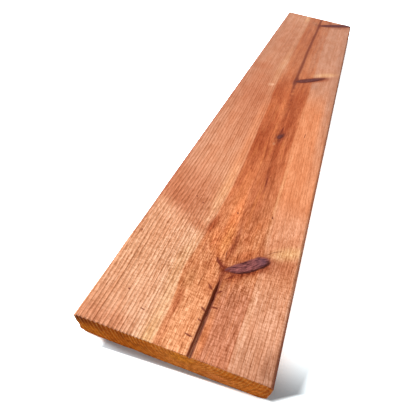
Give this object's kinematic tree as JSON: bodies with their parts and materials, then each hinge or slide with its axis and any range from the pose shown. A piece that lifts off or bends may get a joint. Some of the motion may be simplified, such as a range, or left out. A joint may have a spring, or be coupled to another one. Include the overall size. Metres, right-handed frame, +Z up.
{
  "type": "decking board",
  "caption": "Short planed softwood decking board, rectangular with rounded long edges and square-sawn ends, oiled reddish brown, with its pith and knots showing in the top face.",
  "frame": {"origin": "middle of the underside", "axes": "+X along the board from the end with the open pith to the other end, +Y across it, +Z up through its thickness"},
  "size_m": [0.8, 0.145, 0.028],
  "materials": {
    "oiled_softwood": "planed and oiled, satin"
  },
  "bodies": {
    "root": {"decking_board": "oiled_softwood"}
  },
  "joints": []
}
